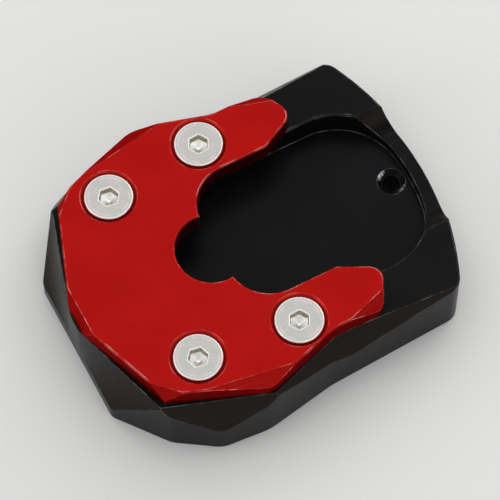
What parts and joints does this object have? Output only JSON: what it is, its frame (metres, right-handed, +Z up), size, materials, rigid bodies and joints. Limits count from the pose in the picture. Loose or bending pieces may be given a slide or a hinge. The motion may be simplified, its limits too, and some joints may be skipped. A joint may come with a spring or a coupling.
{
  "type": "side stand foot enlarger",
  "caption": "Wide foot for a motorcycle side stand: a dark pocketed base, a red clamp plate with a U notch, and countersunk socket screws.",
  "frame": {"origin": "centre of the overall footprint, on the ground face", "axes": "+X along the line of symmetry towards the open end of the pocket, +Z up, away from the ground"},
  "size_m": [0.0892, 0.0738, 0.0234],
  "materials": {
    "black_anodised": "black anodised, satin",
    "red_anodised": "red anodised, satin",
    "screw_steel": "turned, bright"
  },
  "bodies": {
    "root": {"base_plate": "black_anodised", "clamp_plate": "red_anodised", "screw_front_left": "screw_steel", "screw_front_right": "screw_steel", "screw_rear_left": "screw_steel", "screw_rear_right": "screw_steel"}
  },
  "joints": []
}
